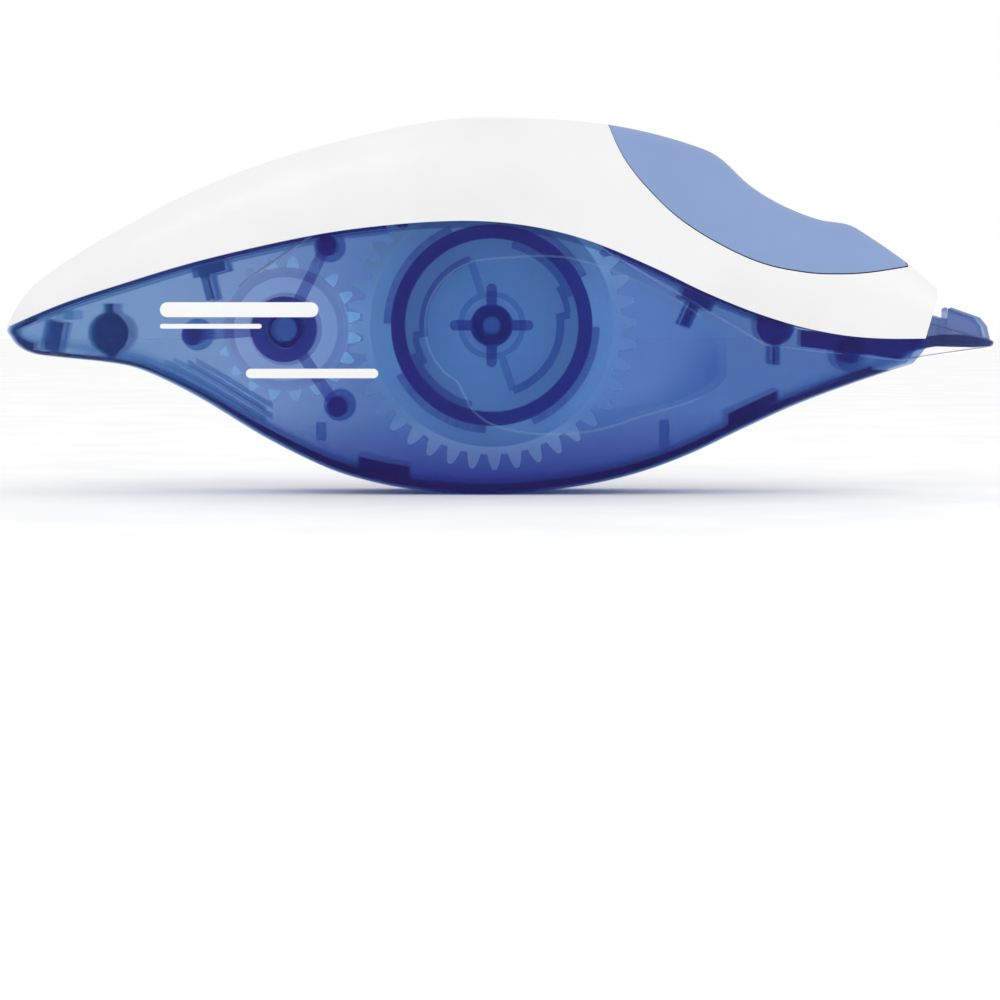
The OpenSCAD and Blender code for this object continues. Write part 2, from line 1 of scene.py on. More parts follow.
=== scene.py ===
import json
import math
import bmesh
import bpy
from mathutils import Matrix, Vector


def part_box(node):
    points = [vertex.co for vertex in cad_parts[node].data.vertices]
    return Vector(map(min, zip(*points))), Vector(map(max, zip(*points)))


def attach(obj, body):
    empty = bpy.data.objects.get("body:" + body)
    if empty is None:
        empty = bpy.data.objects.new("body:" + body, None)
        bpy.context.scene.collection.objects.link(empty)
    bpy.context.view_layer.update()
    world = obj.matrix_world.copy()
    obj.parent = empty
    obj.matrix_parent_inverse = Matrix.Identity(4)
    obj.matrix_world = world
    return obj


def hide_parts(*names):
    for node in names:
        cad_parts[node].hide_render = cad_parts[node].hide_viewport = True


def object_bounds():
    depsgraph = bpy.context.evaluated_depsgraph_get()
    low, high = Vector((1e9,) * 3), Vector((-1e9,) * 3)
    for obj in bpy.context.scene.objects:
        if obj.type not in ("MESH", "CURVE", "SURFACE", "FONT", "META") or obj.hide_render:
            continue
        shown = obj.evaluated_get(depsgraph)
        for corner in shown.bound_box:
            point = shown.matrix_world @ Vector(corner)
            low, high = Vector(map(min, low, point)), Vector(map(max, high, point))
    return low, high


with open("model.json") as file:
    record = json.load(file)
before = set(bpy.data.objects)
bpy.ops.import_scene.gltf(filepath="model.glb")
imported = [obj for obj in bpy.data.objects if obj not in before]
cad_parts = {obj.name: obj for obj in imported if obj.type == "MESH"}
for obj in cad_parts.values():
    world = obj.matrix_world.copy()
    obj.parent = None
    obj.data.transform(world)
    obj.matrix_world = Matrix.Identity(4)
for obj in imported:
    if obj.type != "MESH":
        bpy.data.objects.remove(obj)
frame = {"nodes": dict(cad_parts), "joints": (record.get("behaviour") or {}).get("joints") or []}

cad_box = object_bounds()
MM = 0.001

# ---------------------------------------------------------------- outlines in mm, as (x, z)
CROWN = [
    (-63.6, -2.4), (-62.6, -0.4), (-60.5, 2.4), (-57, 5.1), (-50.5, 9.1), (-40, 14.6),
    (-29, 18.9), (-16, 22.4), (-7, 24), (0, 24.2), (7, 24), (13.5, 23.4), (20, 22.1),
    (26.4, 20.1), (28.6, 18.8), (32, 15.6), (36, 13.1), (41, 11.1), (44.6, 10.5),
    (46.2, 9.8), (52.6, 5.4), (55.8, 2.6), (57.2, 1.2),
]
BELLY = [
    (-63.6, -3.5), (-62.3, -5.2), (-60.5, -6.2), (-57, -6.7), (-51, -7.3), (-47, -8),
    (-43, -9.6), (-38, -12.2), (-30, -17), (-22, -20.9), (-16, -22.7), (-10, -23.7),
    (-2, -24.2), (5, -23.8), (12, -22.8), (18, -21.3), (24, -19.1), (31, -15.8),
    (38, -12.7), (46, -9.8), (52.6, -7.7), (57.2, -6.4),
]
SEAM = [
    (-63.6, -3), (-56, 0.1), (-48, 2.7), (-40, 5.1), (-31, 7.3), (-22, 9.1), (-14, 10.1),
    (-6, 10.6), (0, 10.4), (6, 9.5), (12, 7.8), (20, 4.4), (26, 1.5), (33, -1.3),
    (40, -3.3), (47, -4.3), (57.2, -4.4),
]
# half the width seen from above, as (x, y); the middle is cut off flat at HALF_W
PLAN = [
    (-63.6, 3), (-62.4, 4.5), (-59, 5.9), (-50, 7.5), (-40, 8.5), (-30, 9), (-5, 9.8),
    (20, 9), (30, 8.6), (40, 7.3), (50, 5.8), (57.2, 5),
]
GRIP = [
    (13.4, 24.4), (14.6, 20.9), (16, 18.2), (18.4, 15.1), (22.5, 11.1), (28, 7.6),
    (33.5, 5.2), (39, 4.1), (43, 3.9), (47, 4.1), (52.4, 4.9),
]
# the raked front, from top to bottom; FAR is clear of the whole object
FAR = 80.0
FRONT = [(56.2, FAR), (56.2, 1.8), (54.4, -4.3), (54.4, -5.6), (52.6, -8), (52.6, -FAR)]
# the pad's outline after its arc round the supply axle
PAD_OPEN_END = [
    (-3.2, -13.6), (0.5, -15.6), (6, -16.3), (12, -15.8), (18, -14), (25, -11.8), (28.3, -9.6),
    (29.4, -6.6), (28, -4), (24, -0.6), (18, 2.6), (12, 5), (6, 6.1),
]


# ---------------------------------------------------------------- sizes in mm, places as (x, z)
def axle_at(joint_name):
    """Where a joint's axle lies."""
    joint = next(j for j in frame["joints"] if j["name"] == joint_name)
    return tuple(round(joint["pos_m"][axis] / MM, 4) for axis in (0, 2))


TAIL_X, NOSE_X = CROWN[0][0], CROWN[-1][0]
GRIP_X0, GRIP_X1 = GRIP[0][0], GRIP[-1][0]
# half the width of the object and of the tape, from the frame
HALF_W = round(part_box("rear_case")[1][1] / MM, 1)
TAPE_Y = round(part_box("tape_run")[1][1] / MM, 1)
BELLY_R = 2.6
CROWN_POWER = 3
WALL = 1.3
COVER_WALL = 2.0
GRIP_T = 0.9
# the belly's wall thins to TAIL_WALL over TAIL_TAPER_L, from the front end of TAIL_FLOOR_X
TAIL_WALL = 0.6
TAIL_FLOOR_X = (-60, -26)
TAIL_FLOOR_Y = 4.5
TAIL_TAPER_L = 18
# how far in from the skin the case's hidden walls lie, how far forward they reach, and the
# thickness of the ledge that joins them to the skin
SHOULDER = 2.2
CASE_TOP_X = 36
LEDGE_T = 0.7
FIT_GAP = 0.1
GRIP_GAP = 0.15
NOSE_WINDOW = (48, -8.4, 60, -1.0)
WINDOW_Y = TAPE_Y + 0.75
# the pad on both flat sides, the step round it, and how far out the tool that cuts them reaches
PAD_ARC_R = 8.3
PAD_DEPTH = 0.3
PAD_RIM_DEPTH = 0.15
PAD_RIM_W = 0.3
PAD_TOOL_Y = 12

SUPPLY = axle_at("supply_spin")
TAKEUP = axle_at("takeup_spin")
GUIDE = (35.2, -2.7)
HEAD_BOSS = (44.9, -6.4)
TAIL_BOSS = (-50.3, -3.6)
UPPER_GUIDES = ((8.5, 16.6), (-11, 16.6))
BLOCKS_X = (-15, 32.3)
# short upright ribs on the far wall: x, z, height
STUBS = ((-23.6, -16.6, 2.4), (21.4, -16.8, 3.4))

# what joins runs this far into its neighbour, and a cutting tool this far past what it cuts
OVERLAP = 0.1
OVER = 1
# sockets are this much wider than their pins, and the blind ones this much deeper
SOCKET_GAP = 0.06
SOCKET_EXTRA_L = 0.2
PIN_R = 1.1
# the bosses of the two halves meet at this distance from the middle
MEET_Y = 0.1
SUPPLY_AXLE_R = 2.6
TAKEUP_AXLE_R = 2.5
AXLE_WALL = 0.9
AXLE_FOOT = 5
SUPPLY_AXLE_END_Y = -3.2
TAKEUP_AXLE_END_Y = -4.5
NEAR_TUBE_R = 2.3
NEAR_TUBE_BORE_R = 1.25
NEAR_TUBE_END_Y = -6.2
GUIDE_R = 2.45
GUIDE_PIN_END_Y = -4.4
GUIDE_WALL_Y = 5.2
# room beside the tape: at the guide, its tube, its stem and the upper guides
GUIDE_CLEAR = 0.2
GUIDE_TUBE_CLEAR = 0.35
GUIDE_STEM_CLEAR = 0.25
UPPER_GUIDE_CLEAR = 0.3
GUIDE_STEM_HALF_W = 0.55
GUIDE_STEM_Z = (-5, -1.4)
UPPER_GUIDE_R = 1.2
UPPER_WALL_Y = 5.9
BRIDGE_R = 12
BRIDGE_DIRECTIONS = (63.7, 183.7, 303.7)
BRIDGE_LEG_R = 1.35
BRIDGE_SOCKET_WALL = 0.75
BRIDGE_SOCKET_Y = 4.2
BRIDGE_BORE_Y = (3, 5.35)
CATCH_DROP = 1.1
CATCH_HALF_H = 0.8
HEAD_BOSS_R = 2.2
HEAD_BOSS_CLEAR = 0.05
HEAD_SOCKET_Y = 4.4
TAIL_BOSS_R = 2.7
TAIL_BOSS_DROP = 3.4
TAIL_NUB_HALF_W = 0.7
TAIL_NUB_Z = (2, 3.8)
TAIL_PIN_R = 1.2
TAIL_PIN_END_Y = -3
BLOCK_HALF_L = 3.3
BLOCK_DEPTHS = (0.8, 2.9)
BLOCK_PIN_DEPTH = 1.9
BLOCK_PIN_R = 0.55
BLOCK_PIN_END_Y = -2
STUB_W = 1.3
STUB_DEPTH = 3

# the remade shells are this much smaller than drawn, so that they and the print on them stay
# inside the CAD box
SHRINK = (0.9998, 0.9994, 0.9992)
SMOOTH_BELOW = math.radians(32)

# how finely the curves are cut into straight pieces; the lower END_CROWDING is, the closer the
# body's rings lie at both ends
STATIONS = 170
END_CROWDING = 12
CORNER_STEPS = 7
CROWN_STEPS = 22
CIRCLE_STEPS = 48
SEAM_STEPS = 150
GRIP_STEPS = 120
TAIL_FLOOR_STEPS = 24
TAIL_BOSS_STEPS = 40
RIB_STEPS = 12
OUTLINE_STEPS = 6
PRINT_END_STEPS = 8
PRINT_STEPS = 40


# ---------------------------------------------------------------- curves and outlines
def curve(points, x):
    """Height at x of the smooth curve through the points."""
    k = 0
    while k < len(points) - 2 and x >= points[k + 1][0]:
        k += 1

    def slope(i):
        before, after = points[max(i - 1, 0)], points[min(i + 1, len(points) - 1)]
        return (after[1] - before[1]) / (after[0] - before[0])

    start, end = points[k], points[k + 1]
    length = end[0] - start[0]
    t = (x - start[0]) / length
    rise0, rise1 = slope(k) * length, slope(k + 1) * length
    return ((2 * t**3 - 3 * t**2 + 1) * start[1] + (t**3 - 2 * t**2 + t) * rise0
            + (3 * t**2 - 2 * t**3) * end[1] + (t**3 - t**2) * rise1)


def half_width(x):
    return min(HALF_W, curve(PLAN, x))


def wall_y(x):
    """Middle of the side wall, on which ribs and bosses stand."""
    return half_width(x) - WALL / 2


def spread(start, end, steps):
    return [start + (end - start) * k / steps for k in range(steps + 1)]


def rectangle(x0, z0, x1, z1):
    return [(x0, z0), (x1, z0), (x1, z1), (x0, z1)]


def on_circle(at, r, angle):
    return (at[0] + r * math.cos(angle), at[1] + r * math.sin(angle))


def turned(points, at, degrees):
    """The points, drawn round the origin, turned and moved to their place."""
    c, s = math.cos(math.radians(degrees)), math.sin(math.radians(degrees))
    return [(at[0] + c * x - s * z, at[1] + s * x + c * z) for x, z in points]


def smooth_outline(points):
    """A closed outline rounded through the points."""
    outline = []
    for i in range(len(points)):
        around = [points[(i + k) % len(points)] for k in (-1, 0, 1, 2)]
        for k in range(OUTLINE_STEPS):
            t = k / OUTLINE_STEPS
            outline.append(tuple(
                0.5 * (2 * b + (c - a) * t + (2 * a - 5 * b + 4 * c - d) * t * t
                       + (3 * b - a - 3 * c + d) * t**3)
                for a, b, c, d in zip(*around)
            ))
    return outline


def pad_outline():
    """Part of a circle round the supply axle that opens out towards the front."""
    arc = [on_circle(SUPPLY, PAD_ARC_R, math.radians(a)) for a in range(100, 241, 10)]
    return smooth_outline(arc + PAD_OPEN_END)


def widened(outline, by):
    """The outline with each point moved away from its middle."""
    middle = [sum(p[i] for p in outline) / len(outline) for i in (0, 1)]
    grow = [1 + by / math.dist(p, middle) for p in outline]
    return [tuple(m + (c - m) * k for c, m in zip(p, middle)) for p, k in zip(outline, grow)]


# ---------------------------------------------------------------- solids, drawn in mm
def mesh_object(name, verts, faces):
    mesh = bpy.data.meshes.new(name)
    mesh.from_pydata(verts, [], faces)
    mesh.validate()
    obj = bpy.data.objects.new(name, mesh)
    bpy.context.collection.objects.link(obj)
    return obj


def body_ring(x, d):
    """The body's cross-section at x, in from its skin by d."""
    low, high, w = curve(BELLY, x) + d, curve(CROWN, x) - d, half_width(x) - d
    # widest at the seam, but at least 0.4 of the height above the belly and 0.3 below the crown
    widest = min(max(curve(SEAM, x), low + 0.4 * (high - low)), high - 0.3 * (high - low))
    r = max(0.2, min(BELLY_R - 0.6 * d, 0.6 * (widest - low), 0.6 * w))
    power = 2 / CROWN_POWER
    half = [(0.0, low)]
    for i in range(CORNER_STEPS + 1):
        a = math.pi / 2 * i / CORNER_STEPS
        half.append((w - r + r * math.sin(a), low + r - r * math.cos(a)))
    for i in range(CROWN_STEPS):
        a = math.pi / 2 * i / CROWN_STEPS
        half.append((w * math.cos(a) ** power, widest + (high - widest) * math.sin(a) ** power))
    half.append((0.0, high))
    ring = half + [(-y, z) for y, z in reversed(half[1:-1])]
    return [(x, y, z) for y, z in ring]


def body_solid(d):
    """The whole body as one solid, in from its skin by d."""
    x0 = TAIL_X + d
    rings = []
    for t in spread(0, 1, STATIONS):
        crowded = t - math.sin(2 * math.pi * t) / END_CROWDING
        rings.append(body_ring(x0 + (NOSE_X - x0) * crowded, d))
    n = len(rings[0])
    faces = []
    for k in range(STATIONS):
        for j in range(n):
            a, b = k * n + j, k * n + (j + 1) % n
            faces.append((a, b, b + n, a + n))
    faces.append(tuple(reversed(range(n))))
    faces.append(tuple(STATIONS * n + j for j in range(n)))
    return mesh_object("solid", [p for ring in rings for p in ring], faces)


def plate(outline, y0, y1):
    """A flat plate with that outline between y0 and y1, given in either order."""
    near, far = min(y0, y1), max(y0, y1)
    area = sum(a[0] * b[1] - b[0] * a[1] for a, b in zip(outline, outline[1:] + outline[:1]))
    if area < 0:
        outline = outline[::-1]
    n = len(outline)
    verts = [(x, near, z) for x, z in outline] + [(x, far, z) for x, z in outline]
    faces = [tuple(range(n)), tuple(reversed(range(n, 2 * n)))]
    faces += [(i, i + n, (i + 1) % n + n, (i + 1) % n) for i in range(n)]
    return mesh_object("plate", verts, faces)


def rod(at, r, y0, y1):
    angles = [2 * math.pi * i / CIRCLE_STEPS for i in range(CIRCLE_STEPS)]
    return plate([on_circle(at, r, a) for a in angles], y0, y1)


def combine(target, operation, operands):
    """Works the operands into the target one by one, and removes them."""
    for operand in operands:
        modifier = target.modifiers.new("combine", "BOOLEAN")
        modifier.operation = operation
        modifier.solver = "MANIFOLD"
        modifier.object = operand
        graph = bpy.context.evaluated_depsgraph_get()
        combined = bpy.data.meshes.new_from_object(target.evaluated_get(graph))
        target.modifiers.clear()
        target.data = combined
        bpy.data.objects.remove(operand)
    return target


def cut(target, *tools):
    return combine(target, "DIFFERENCE", tools)


def keep(target, *tools):
    return combine(target, "INTERSECT", tools)


def add(target, *tools):
    return combine(target, "UNION", tools)


def tube(at, r, bore_r, y0, y1):
    return cut(rod(at, r, y0, y1), rod(at, bore_r, y0 - OVER, y1 + OVER))


def above_seam(gap, x1=FAR):
    """Everything above the seam, raised by gap, as far forward as x1."""
    x0 = TAIL_X - OVER
    edge = [(x, curve(SEAM, max(TAIL_X, min(x, NOSE_X))) + gap) for x in spread(x0, x1, SEAM_STEPS)]
    return plate(edge + [(x1, FAR), (x0, FAR)], -FAR, FAR)


def front_limit(d):
    """Everything behind the raked front, moved back by d."""
    return plate([(-FAR, -FAR), (-FAR, FAR)] + [(x - d, z) for x, z in FRONT], -FAR, FAR)


def grip_region(d):
    """The finger grip's region, in from its edge by d."""
    x0, x1 = GRIP_X0 + d, GRIP_X1 - d
    edge = [(x, curve(GRIP, x) + d) for x in spread(x0, x1, GRIP_STEPS)]
    return plate(edge + [(x1, FAR), (x0, FAR)], -FAR, FAR)


def nose_window():
    """Room for the head and the tape where they leave the nose."""
    return plate(rectangle(*NOSE_WINDOW), -WINDOW_Y, WINDOW_Y)


def tail_floor():
    """Room that leaves the wall along the belly thinner towards the tail."""
    xs = spread(*TAIL_FLOOR_X, TAIL_FLOOR_STEPS)
    taper = (WALL - TAIL_WALL) / TAIL_TAPER_L
    floor = [(x, curve(BELLY, x) + max(TAIL_WALL, WALL - taper * (xs[-1] - x))) for x in xs]
    roof = [(x, curve(BELLY, x) + WALL + OVERLAP) for x in reversed(xs)]
    return plate(floor + roof, -TAIL_FLOOR_Y, TAIL_FLOOR_Y)


# ---------------------------------------------------------------- the two case halves
def case_half(side):
    """A half without its ribs: skin below the seam, hidden walls above it, and the pad."""
    shell = cut(body_solid(0), above_seam(0))
    add(shell, keep(body_solid(SHOULDER), above_seam(-WALL, CASE_TOP_X)))
    keep(shell, front_limit(0))
    cavity = cut(keep(body_solid(WALL), front_limit(WALL)), above_seam(-LEDGE_T, CASE_TOP_X))
    cut(shell, cavity, body_solid(SHOULDER + WALL), nose_window(), tail_floor())
    outline = pad_outline()
    for points, depth in ((outline, PAD_DEPTH), (widened(outline, PAD_RIM_W), PAD_RIM_DEPTH)):
        cut(shell, plate(points, side * (HALF_W - depth), side * PAD_TOOL_Y))
    return keep(shell, plate(rectangle(-FAR, -FAR, FAR, FAR), 0, side * FAR))


def span(side, x, depth):
    """From the middle of the side wall at x inwards by depth, as two y values."""
    return side * wall_y(x), side * (wall_y(x) - depth)


def belly_rib(x0, x1, d0, d1, y0, y1):
    """A rib that follows the belly between the depths d0 and d1 below its skin."""
    xs = spread(x0, x1, RIB_STEPS)
    outer = [(x, curve(BELLY, x) + d0) for x in xs]
    inner = [(x, curve(BELLY, x) + d1) for x in reversed(xs)]
    return plate(outer + inner, y0, y1)


def belly_block(x, y0, y1):
    return belly_rib(x - BLOCK_HALF_L, x + BLOCK_HALF_L, *BLOCK_DEPTHS, y0, y1)


def block_pin(x, r, y0, y1):
    return rod((x, curve(BELLY, x) + BLOCK_PIN_DEPTH), r, y0, y1)


def catch(x, length, stem_dx, stem_w, stem_len, y0, y1):
    """What the cover's rim hooks over: a crossbar along the seam with a stem below it."""
    at = (x, curve(SEAM, x) - CATCH_DROP)
    tilt = math.degrees(math.atan((curve(SEAM, x + 1) - curve(SEAM, x - 1)) / 2))
    bar = rectangle(-length / 2, -CATCH_HALF_H, length / 2, CATCH_HALF_H)
    stem = rectangle(stem_dx - stem_w / 2, -stem_len, stem_dx + stem_w / 2, 0)
    return add(plate(turned(bar, at, tilt), y0, y1), plate(turned(stem, at, tilt), y0, y1))


def shared_ribs(shell, side):
    """Ribs that both halves carry: tail, two catches, seam tab, head boss and belly."""
    add(shell, plate(turned(rectangle(-1.3, -2, 1.3, 2), (-57.7, -4), -12), *span(side, -58, 4.6)))
    add(shell, catch(-37.4, 4.4, -0.7, 1.2, 4, *span(side, -37, 4.4)))
    add(shell, catch(25.2, 4.4, -0.1, 1.5, 3.9, *span(side, 26, 5.2)))
    add(shell, plate(rectangle(-57.1, -1.9, -54.8, -0.7), *span(side, -56, 1.8)))
    boss_y = span(side, 45, wall_y(45) - WINDOW_Y - HEAD_BOSS_CLEAR)
    boss = rod(HEAD_BOSS, HEAD_BOSS_R, *boss_y)
    add(shell, cut(boss, rod(HEAD_BOSS, PIN_R + SOCKET_GAP, -HEAD_SOCKET_Y, HEAD_SOCKET_Y)))
    rib_y = span(side, -38, 2.4)
    add(shell, belly_rib(-43, -30, 2, 2.7, *rib_y), belly_rib(-40, -30, 3.4, 4.1, *rib_y))


def tail_boss(y0, y1):
    """Round, drawn out to a point on the belly, with a nub on top."""
    opening = math.acos(TAIL_BOSS_R / TAIL_BOSS_DROP)
    angles = spread(opening - math.pi / 2, 3 * math.pi / 2 - opening, TAIL_BOSS_STEPS)
    x, z = TAIL_BOSS
    outline = [on_circle(TAIL_BOSS, TAIL_BOSS_R, a) for a in angles] + [(x, z - TAIL_BOSS_DROP)]
    low, high = TAIL_NUB_Z
    nub = rectangle(x - TAIL_NUB_HALF_W, z + low, x + TAIL_NUB_HALF_W, z + high)
    return add(plate(outline, y0, y1), plate(nub, y0, y1))


def guide_stem(y0, y1):
    (x, z), (low, high) = GUIDE, GUIDE_STEM_Z
    stem = rectangle(x - GUIDE_STEM_HALF_W, z + low, x + GUIDE_STEM_HALF_W, z + high)
    return plate(stem, y0, y1)


def front_half():
    """The near half: sockets for the far half's pins, and tubes that face its axles."""
    shell = case_half(-1)
    add(shell, tube(SUPPLY, NEAR_TUBE_R, NEAR_TUBE_BORE_R, -wall_y(SUPPLY[0]), NEAR_TUBE_END_Y))
    add(shell, tube(TAKEUP, TAKEUP_AXLE_R - FIT_GAP, TAKEUP_AXLE_R - AXLE_WALL,
                    -wall_y(TAKEUP[0]), TAKEUP_AXLE_END_Y - FIT_GAP))
    add(shell, tube(GUIDE, GUIDE_R, PIN_R + SOCKET_GAP, -GUIDE_WALL_Y, -TAPE_Y - GUIDE_TUBE_CLEAR))
    add(shell, guide_stem(-wall_y(GUIDE[0]), -TAPE_Y - GUIDE_STEM_CLEAR))
    socket = rod(TAIL_BOSS, TAIL_PIN_R + SOCKET_GAP, TAIL_PIN_END_Y - SOCKET_EXTRA_L, OVER)
    add(shell, cut(tail_boss(-wall_y(TAIL_BOSS[0]), -MEET_Y), socket))
    for x in BLOCKS_X:
        socket = block_pin(x, BLOCK_PIN_R + SOCKET_GAP, BLOCK_PIN_END_Y - SOCKET_EXTRA_L, OVER)
        add(shell, cut(belly_block(x, -wall_y(x), -MEET_Y), socket))
    shared_ribs(shell, -1)
    return shell


def axle(at, r, y0):
    """A hollow axle with a solid foot, from y0 to the far wall."""
    wall = wall_y(at[0])
    return cut(rod(at, r, y0, wall), rod(at, r - AXLE_WALL, y0 - OVER, wall - AXLE_FOOT))


def bridge_socket(direction):
    """Socket for a leg of the take-up bridge, on the hidden wall or the side wall."""
    foot = on_circle(TAKEUP, BRIDGE_R, math.radians(direction))
    back = UPPER_WALL_Y if foot[1] > 0 else wall_y(foot[0])
    bore = rod(foot, BRIDGE_LEG_R + SOCKET_GAP, *BRIDGE_BORE_Y)
    return cut(rod(foot, BRIDGE_LEG_R + BRIDGE_SOCKET_WALL, BRIDGE_SOCKET_Y, back), bore)


def rear_half():
    """The far half: both axles, the guides that the tape runs over, and the pins."""
    shell = case_half(1)
    add(shell, axle(SUPPLY, SUPPLY_AXLE_R, SUPPLY_AXLE_END_Y))
    add(shell, axle(TAKEUP, TAKEUP_AXLE_R, TAKEUP_AXLE_END_Y))
    guide_end_y = -TAPE_Y - GUIDE_CLEAR
    add(shell, rod(GUIDE, GUIDE_R, guide_end_y, GUIDE_WALL_Y))
    add(shell, rod(GUIDE, PIN_R, GUIDE_PIN_END_Y, guide_end_y + OVERLAP))
    add(shell, guide_stem(TAPE_Y + GUIDE_STEM_CLEAR, wall_y(GUIDE[0])))
    for direction in BRIDGE_DIRECTIONS:
        add(shell, bridge_socket(direction))
    for at in UPPER_GUIDES:
        add(shell, rod(at, UPPER_GUIDE_R, -TAPE_Y - UPPER_GUIDE_CLEAR, UPPER_WALL_Y))
    add(shell, tail_boss(MEET_Y, wall_y(TAIL_BOSS[0])))
    add(shell, rod(TAIL_BOSS, TAIL_PIN_R, TAIL_PIN_END_Y, MEET_Y + OVERLAP))
    for x, z, height in STUBS:
        outline = rectangle(x - STUB_W / 2, z - height / 2, x + STUB_W / 2, z + height / 2)
        add(shell, plate(outline, wall_y(x) - STUB_DEPTH, wall_y(x)))
    for x in BLOCKS_X:
        add(shell, belly_block(x, MEET_Y, wall_y(x)))
        add(shell, block_pin(x, BLOCK_PIN_R, BLOCK_PIN_END_Y, MEET_Y + OVERLAP))
    shared_ribs(shell, 1)
    return shell


# ---------------------------------------------------------------- the cover and the finger grip
def cover():
    """White saddle over the top of the case, with a recess for the grip."""
    shell = keep(body_solid(0), above_seam(FIT_GAP), front_limit(0))
    cut(shell, keep(body_solid(COVER_WALL), front_limit(COVER_WALL)))
    return cut(shell, cut(grip_region(0), body_solid(GRIP_T + 0.05)), nose_window())


def grip():
    return cut(keep(body_solid(0), grip_region(GRIP_GAP)), body_solid(GRIP_T))


def finish_piece(obj, name, node):
    """Names the piece, brings it to metres, shades it and puts it in the CAD node's place."""
    obj.name = name
    obj.data.name = name
    for v in obj.data.vertices:
        v.co = [c * k * MM for c, k in zip(v.co, SHRINK)]
    obj.data.materials.clear()
    bpy.context.view_layer.objects.active = obj
    obj.select_set(True)
    bpy.ops.object.shade_smooth_by_angle(angle=SMOOTH_BELOW)
    obj.select_set(False)
    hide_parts(node)
    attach(obj, "housing")
    return obj


shell_front = finish_piece(front_half(), "case_near_shell", "front_case")
shell_rear = finish_piece(rear_half(), "case_far_shell", "rear_case")
shell_cover = finish_piece(cover(), "cover_shell", "top_cover")
shell_grip = finish_piece(grip(), "grip_pad", "finger_grip")


# ---------------------------------------------------------------- shader values
# nearly all of a noise texture's values lie in this range
NOISE_RANGE = (0.3, 0.7)


def feed(tree, socket, value):
    """Links the socket to another one, or sets it to a number or a colour."""
    if isinstance(value, bpy.types.NodeSocket):
        tree.links.new(value, socket)
    elif isinstance(value, tuple):
        socket.default_value = (*value, 1)
    else:
        socket.default_value = value


def remap(tree, value, start, end, low, high, interpolation="SMOOTHSTEP"):
    """Low where the value is at start and high where it is at end."""
    run = tree.nodes.new("ShaderNodeMapRange")
    run.interpolation_type = interpolation
    for name, given in (("Value", value), ("From Min", start), ("From Max", end),
                        ("To Min", low), ("To Max", high)):
        feed(tree, run.inputs[name], given)
    return run.outputs["Result"]


def noise_between(tree, low, high, scale, detail=2.0):
    """A value that wanders between low and high over the piece."""
    coordinates = tree.nodes.new("ShaderNodeTexCoord")
    noise = tree.nodes.new("ShaderNodeTexNoise")
    feed(tree, noise.inputs["Scale"], scale)
    feed(tree, noise.inputs["Detail"], detail)
    feed(tree, noise.inputs["Vector"], coordinates.outputs["Object"])
    return remap(tree, noise.outputs["Fac"], *NOISE_RANGE, low, high, "LINEAR")


def shade_over(tree, axis, start, end, low, high):
    """A value that runs from low to high between two places along an axis, in mm."""
    geometry = tree.nodes.new("ShaderNodeNewGeometry")
    parts = tree.nodes.new("ShaderNodeSeparateXYZ")
    feed(tree, parts.inputs[0], geometry.outputs["Position"])
    return remap(tree, parts.outputs[axis], start * MM, end * MM, low, high)


def ring_over(tree, middle, radii, start, end, low, high):
    """A value that runs from low to high between two multiples of an ellipse's radii.

    The ellipse is seen from the side and given in mm."""
    geometry = tree.nodes.new("ShaderNodeNewGeometry")
    flat = tree.nodes.new("ShaderNodeVectorMath")
    flat.operation = "MULTIPLY_ADD"
    feed(tree, flat.inputs[0], geometry.outputs["Position"])
    flat.inputs[1].default_value = (1 / (radii[0] * MM), 0, 1 / (radii[1] * MM))
    flat.inputs[2].default_value = (-middle[0] / radii[0], 0, -middle[1] / radii[1])
    away = tree.nodes.new("ShaderNodeVectorMath")
    away.operation = "LENGTH"
    feed(tree, away.inputs[0], flat.outputs[0])
    return remap(tree, away.outputs["Value"], start, end, low, high)


def between(tree, share, a, b):
    """The value or colour that runs from a to b with share."""
    mix = tree.nodes.new("ShaderNodeMix")
    mix.data_type = "RGBA" if isinstance(b, tuple) else "FLOAT"
    for name, given in (("Factor", share), ("A", a), ("B", b)):
        feed(tree, mix.inputs[name], given)
    return mix.outputs["Result"]


def times(tree, *values):
    """The product of the values."""
    result = values[0]
    for value in values[1:]:
        product = tree.nodes.new("ShaderNodeMath")
        product.operation = "MULTIPLY"
        feed(tree, product.inputs[0], result)
        feed(tree, product.inputs[1], value)
        result = product.outputs[0]
    return result


def face_mark(tree, name):
    mark = tree.nodes.new("ShaderNodeAttribute")
    mark.attribute_name = name
    return mark.outputs["Fac"]


def mixed_shader(tree, share, a, b):
    mix = tree.nodes.new("ShaderNodeMixShader")
    for socket, given in zip(mix.inputs, (share, a, b)):
        feed(tree, socket, given)
    return mix.outputs[0]


def new_material(name):
    """An empty material: the material, its tree and its output node."""
    mat = bpy.data.materials.new(name)
    mat.use_nodes = True
    mat.node_tree.nodes.clear()
    return mat, mat.node_tree, mat.node_tree.nodes.new("ShaderNodeOutputMaterial")


# ---------------------------------------------------------------- clear plastic, places in mm
# the darker edge of the pad's dish is an ellipse, of which the lower front shows
PAD_MIDDLE = (10, -5)
PAD_RADII = (20, 11.4)
PAD_EDGE_RING = (0.6, 1.0)
PAD_EDGE_X = (2, 14)
PAD_EDGE_Z = (-8, -2)
PAD_EDGE_TINT = (0.58, 0.69, 0.84)
PAD_HAZE = (0.15, 0.17, 0.88)
PAD_HAZE_SHARE = 0.16
PAD_GRAIN_SCALE = 3500.0
PAD_GLOSS_SHARE = 0.3
PAD_RIM_HAZE = (0.40, 0.55, 0.95)
PAD_RIM_HAZE_SHARE = 0.22
CLEAR_TAIL_X = (-36, -10)
BODY_TINT = (0.79, 0.865, 0.93)
BELLY_Z = (-25, -12)
BELLY_TINT = (0.50, 0.54, 0.72)
BELLY_TINT_SHARE = 0.75
